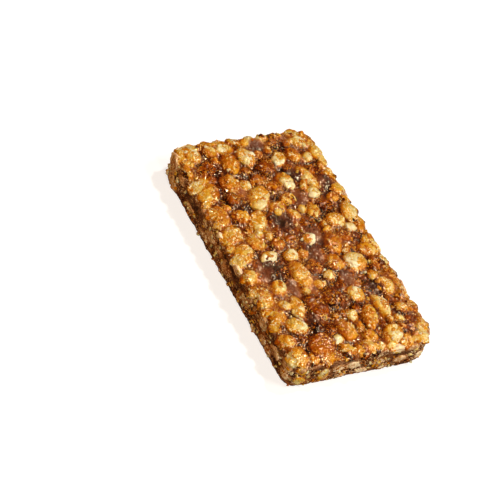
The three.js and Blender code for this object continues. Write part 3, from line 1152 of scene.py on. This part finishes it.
def makeCrumbTree():
    tree, nodes, given = startTree("crumbs", [key for key in topCrumbs if key != "Material"])
    spread = nodes.add("GeometryNodeDistributePointsOnFaces", distribute_method="POISSON")
    nodes.feed(spread.inputs["Mesh"], given["Geometry"])
    nodes.feed(spread.inputs["Distance Min"], given["Least Gap"])
    nodes.feed(spread.inputs["Density Max"], given["Density"])
    nodes.feed(spread.inputs["Density Factor"], crumbShare(nodes, given))
    spread.inputs["Seed"].default_value = crumbSeeds["places"]
    ball = nodes.add("GeometryNodeMeshUVSphere")
    for key, value in crumbBall.items():
        ball.inputs[key].default_value = value
    turn = nodes.add("FunctionNodeRandomValue", data_type="FLOAT_VECTOR")
    turn.inputs[1].default_value = crumbTurn
    turn.inputs["Seed"].default_value = crumbSeeds["turns"]
    tilted = nodes.add("FunctionNodeRotateRotation", rotation_space="LOCAL")
    nodes.feed(tilted.inputs["Rotation"], spread.outputs["Rotation"])
    nodes.feed(tilted.inputs["Rotate By"], turn.outputs[0])
    size = randomNumber(nodes, given["Small Size"], given["Large Size"], crumbSeeds["sizes"])
    narrow = randomNumber(nodes, given["Narrow Share"], 1.0, crumbSeeds["widths"])
    scale = nodes.add("ShaderNodeCombineXYZ")
    nodes.feed(scale.inputs[0], size)
    nodes.feed(scale.inputs[1], nodes.math("MULTIPLY", size, narrow))
    nodes.feed(scale.inputs[2], nodes.math("MULTIPLY", size, given["Thin Share"]))
    put = nodes.add("GeometryNodeInstanceOnPoints")
    nodes.feed(put.inputs["Points"], spread.outputs["Points"])
    nodes.feed(put.inputs["Instance"], ball.outputs["Mesh"])
    nodes.feed(put.inputs["Rotation"], tilted.outputs[0])
    nodes.feed(put.inputs["Scale"], scale.outputs[0])
    crumbs = put.outputs[0]
    tone = randomNumber(nodes, given["Low Tone"], given["High Tone"], crumbSeeds["tones"])
    number = nodes.add("GeometryNodeInputIndex").outputs[0]
    for key, value in (("tone", tone), ("lift", given["Lift"]), ("number", number)):
        crumbs = storeNumber(nodes, crumbs, key, value)
    real = nodes.add("GeometryNodeRealizeInstances")
    nodes.feed(real.inputs["Geometry"], crumbs)
    height = waveHeight(nodes, given, ("Uneven",), None)
    sunk = nodes.math("SUBTRACT", height, given["Sink Depth"])
    endTree(nodes, given, pushOut(nodes, real.outputs[0], sunk))
    return tree


finishPiece(makePiece("crumbs", caramel.data.copy(), makeCrumbTree(), topCrumbs))

# The floor is a lit white panel, so that shadows on it stay faint.
floorLook = {
    "size": 3,  # m
    "shade": 0.32,
    "glow": (0.8, 0.76, 0.72),
    "roughness": 0.8,
    "gloss": 0.1,
}
worldLook = {"colour": (1.0, 0.76, 0.48), "strength": 0.045}
lamps = {  # places and sizes in m, power in W
    "key": {"place": (0.28, 0.34, 0.58), "size": 0.2, "power": 3.2, "colour": (1, 0.99, 0.97)},
    "spark": {"place": (-0.08, 0.33, 0.65), "size": 0.05, "power": 3.4, "colour": (1, 0.97, 0.95)},
    "front": {"place": (0.64, -0.12, 0.2), "size": 0.13, "power": 3.4, "colour": (1, 0.93, 0.84)},
    "fill": {"place": (-0.36, -0.58, 0.2), "size": 0.08, "power": 2.1, "colour": (1, 0.56, 0.22)},
}


def makeFloor():
    half = floorLook["size"] / 2
    mesh = bpy.data.meshes.new("floor")
    corners = [(-half, -half, 0), (half, -half, 0), (half, half, 0), (-half, half, 0)]
    mesh.from_pydata(corners, [], [(0, 1, 2, 3)])
    floor = bpy.data.objects.new("floor", mesh)
    material = bpy.data.materials.new("floor")
    material.use_nodes = True
    shader = material.node_tree.nodes["Principled BSDF"]
    shader.inputs["Base Color"].default_value = [floorLook["shade"]] * 3 + [1]
    shader.inputs["Roughness"].default_value = floorLook["roughness"]
    shader.inputs["Specular IOR Level"].default_value = floorLook["gloss"]
    shader.inputs["Emission Color"].default_value = (*floorLook["glow"], 1)
    shader.inputs["Emission Strength"].default_value = 1
    mesh.materials.append(material)
    floor.visible_glossy = False  # it would grey the dark glaze
    floor.visible_diffuse = False
    bpy.context.scene.collection.objects.link(floor)


def makeLamp(name, look):
    lamp = bpy.data.lights.new(name, "AREA")
    lamp.size = look["size"]
    lamp.energy = look["power"]
    lamp.color = look["colour"]
    holder = bpy.data.objects.new(name, lamp)
    holder.location = look["place"]
    holder.rotation_mode = "QUATERNION"
    holder.rotation_quaternion = (-Vector(look["place"])).to_track_quat("-Z", "Y")
    bpy.context.scene.collection.objects.link(holder)


def lightWorld():
    world = bpy.data.worlds.new("studio")
    world.use_nodes = True
    sky = world.node_tree.nodes["Background"]
    sky.inputs["Color"].default_value = (*worldLook["colour"], 1)
    sky.inputs["Strength"].default_value = worldLook["strength"]
    bpy.context.scene.world = world
    bpy.context.scene.view_settings.view_transform = "Standard"


makeFloor()
for name, look in lamps.items():
    makeLamp(name, look)
lightWorld()
print("studio lit")
